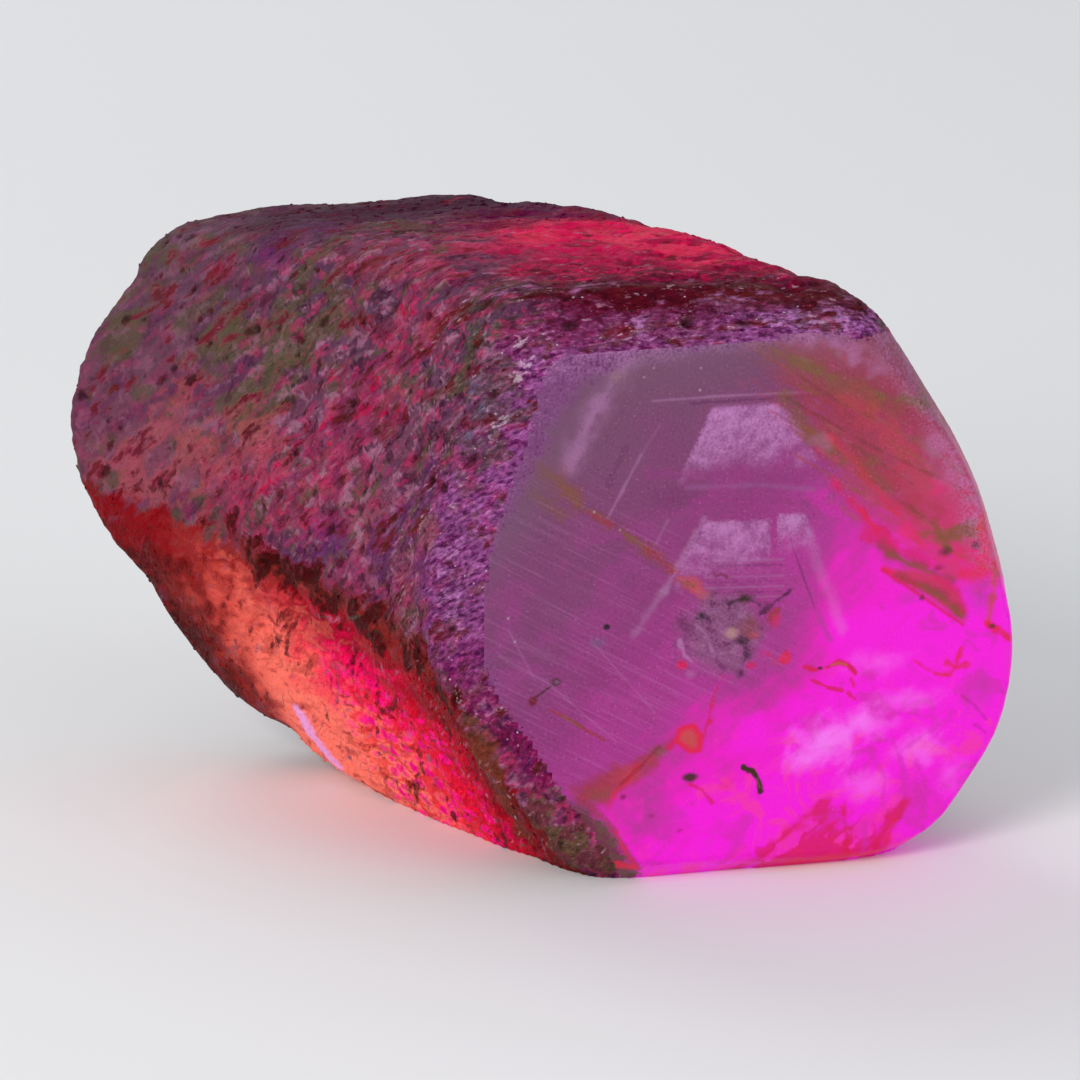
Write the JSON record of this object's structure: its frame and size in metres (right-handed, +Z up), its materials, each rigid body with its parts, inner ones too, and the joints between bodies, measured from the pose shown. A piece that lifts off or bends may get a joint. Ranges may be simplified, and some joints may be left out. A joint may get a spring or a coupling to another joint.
{
  "type": "rough trapiche sapphire crystal",
  "caption": "Rough barrel-shaped corundum crystal lying on a worn prism face, with one end ground to a flat window that shows its trapiche pattern.",
  "frame": {"origin": "bottom centre of the crystal's box, on the surface that it lies on", "axes": "+X to the right seen facing the ground window, +Y away from the window along the barrel, +Z up"},
  "size_m": [0.0188, 0.0144, 0.0137],
  "materials": {
    "corundum": "etched and pitted natural skin, satin on the ground end"
  },
  "bodies": {
    "root": {"sapphire": "corundum"}
  },
  "joints": []
}
